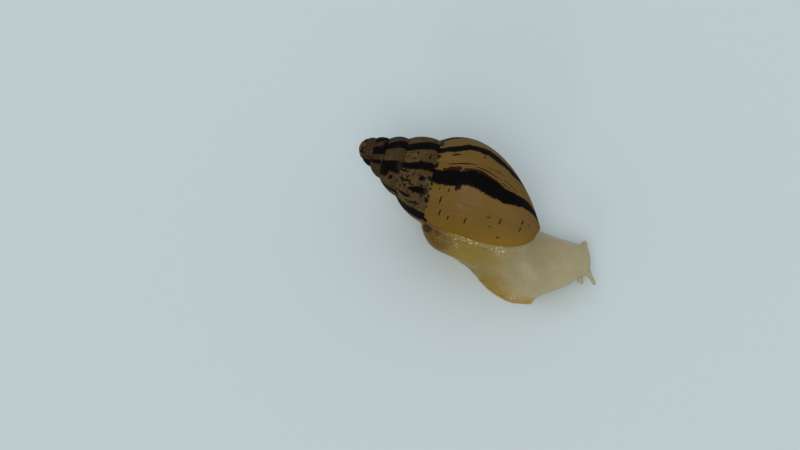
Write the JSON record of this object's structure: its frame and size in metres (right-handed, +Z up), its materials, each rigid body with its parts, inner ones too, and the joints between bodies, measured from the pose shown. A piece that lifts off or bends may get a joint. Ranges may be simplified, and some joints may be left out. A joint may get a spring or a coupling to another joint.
{
  "type": "giant african land snail model",
  "caption": "Still life-size model of a crawling giant african land snail: tall spiral shell over a broad foot, with the neck and head stretched out to one side.",
  "frame": {"origin": "middle of the model's footprint box, on the surface it rests on", "axes": "+X towards the head along the shell's axis in plan, +Y to the animal's left, +Z up"},
  "size_m": [0.1136, 0.051, 0.0539],
  "materials": {
    "shell": "tan to olive shell with near-black flames along the growth lines, satin gloss",
    "skin": "pale cream, wet, finely wrinkled, a little translucent",
    "eye": "near-black, polished"
  },
  "bodies": {
    "root": {"shell": "shell", "mantle": "skin", "trunk": "skin", "foot_front": "skin", "foot_rear": "skin", "tail": "skin", "neck": "skin", "head": "skin", "upper_tentacle_left": "skin", "upper_tentacle_right": "skin", "lower_tentacle_left": "skin", "lower_tentacle_right": "skin", "eye_left": "eye", "eye_right": "eye"}
  },
  "joints": []
}
